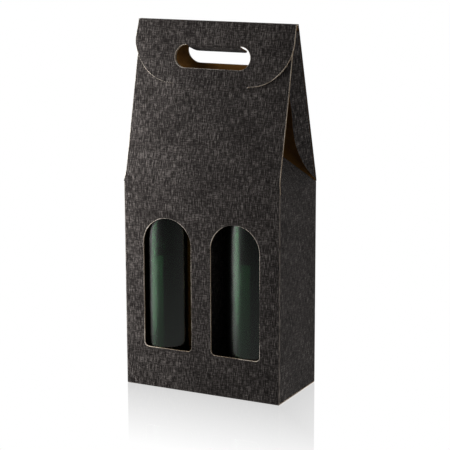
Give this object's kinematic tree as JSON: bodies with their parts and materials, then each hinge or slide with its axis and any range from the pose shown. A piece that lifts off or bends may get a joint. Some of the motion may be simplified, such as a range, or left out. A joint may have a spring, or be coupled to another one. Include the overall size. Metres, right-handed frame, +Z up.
{
  "type": "two-bottle wine carrier box",
  "caption": "Gable-top corrugated wine carrier with arched windows, divider, tuck flap and pushed-in handle slot, holding glass wine bottles.",
  "frame": {"origin": "middle of the footprint, on the surface that the box stands on", "axes": "+X across the front to the right, -Y out of the front with the windows, +Z up"},
  "size_m": [0.18, 0.09, 0.385],
  "materials": {
    "printed_board": "satin",
    "kraft_board": "matte",
    "bottle_glass": "gloss",
    "wine": "gloss",
    "cork": "matte"
  },
  "bodies": {
    "carton_body": {"front_wall": "printed_board", "rear_wall": "printed_board", "left_side_wall": "printed_board", "right_side_wall": "printed_board", "front_bottom_flap": "printed_board", "rear_bottom_flap": "printed_board", "left_bottom_flap": "printed_board", "right_bottom_flap": "printed_board", "glue_flap": "kraft_board", "bottle_divider": "kraft_board", "left_bottle": "bottle_glass", "right_bottle": "bottle_glass", "left_wine": "wine", "right_wine": "wine", "left_cork": "cork", "right_cork": "cork"},
    "front_gable": {"front_gable": "printed_board"},
    "rear_gable": {"rear_gable": "printed_board"},
    "ridge_strip": {"ridge_strip": "printed_board"},
    "closing_flap": {"closing_flap": "printed_board"},
    "tuck_tongue": {"tuck_tongue": "printed_board"},
    "handle_tab": {"handle_tab": "printed_board"},
    "left_wing": {"left_wing": "printed_board"},
    "right_wing": {"right_wing": "printed_board"},
    "left_dust_flap": {"left_dust_flap": "printed_board"},
    "right_dust_flap": {"right_dust_flap": "printed_board"}
  },
  "joints": [
    {"name": "front_gable_crease", "type": "hinge", "parent": "carton_body", "child": "front_gable", "pos_m": [0, -0.045, 0.219], "axis": [1, 0, 0], "range_deg": [0, 5.01]},
    {"name": "rear_gable_crease", "type": "hinge", "parent": "carton_body", "child": "rear_gable", "pos_m": [0, 0.045, 0.219], "axis": [-1, 0, 0], "range_deg": [0, 5.01]},
    {"name": "ridge_crease", "type": "hinge", "parent": "rear_gable", "child": "ridge_strip", "pos_m": [0, -0.0028, 0.385], "axis": [-1, 0, 0], "range_deg": [0, 77]},
    {"name": "flap_crease", "type": "hinge", "parent": "ridge_strip", "child": "closing_flap", "pos_m": [0, -0.0084, 0.385], "axis": [-1, 0, 0], "range_deg": [0, 110.12]},
    {"name": "tongue_crease", "type": "hinge", "parent": "closing_flap", "child": "tuck_tongue", "pos_m": [0, -0.02115, 0.32144], "axis": [-1, 0, 0], "range_deg": [0, 33.12]},
    {"name": "handle_tab_crease", "type": "hinge", "parent": "closing_flap", "child": "handle_tab", "pos_m": [0, -0.01259, 0.36031], "axis": [-1, 0, 0], "range_deg": [0, 85]},
    {"name": "left_wing_crease", "type": "hinge", "parent": "rear_gable", "child": "left_wing", "pos_m": [-0.09, 0.045, 0.219], "axis": [0, 0.2767, -0.961], "range_deg": [0, 120]},
    {"name": "left_dust_flap_crease", "type": "hinge", "parent": "carton_body", "child": "left_dust_flap", "pos_m": [-0.09, 0, 0.219], "axis": [0, -1, 0], "range_deg": [0, 60.01]},
    {"name": "right_wing_crease", "type": "hinge", "parent": "rear_gable", "child": "right_wing", "pos_m": [0.09, 0.045, 0.219], "axis": [0, -0.2767, 0.961], "range_deg": [0, 120]},
    {"name": "right_dust_flap_crease", "type": "hinge", "parent": "carton_body", "child": "right_dust_flap", "pos_m": [0.09, 0, 0.219], "axis": [0, 1, 0], "range_deg": [0, 60.01]}
  ],
  "couplings": [
    {"joint": "flap_crease", "follows": "ridge_crease", "ratio": 1.43},
    {"joint": "tongue_crease", "follows": "ridge_crease", "ratio": 0.43},
    {"joint": "front_gable_crease", "follows": "ridge_crease", "ratio": 0.065},
    {"joint": "rear_gable_crease", "follows": "ridge_crease", "ratio": 0.065},
    {"joint": "left_dust_flap_crease", "follows": "left_wing_crease", "ratio": 0.5},
    {"joint": "right_dust_flap_crease", "follows": "right_wing_crease", "ratio": 0.5}
  ]
}
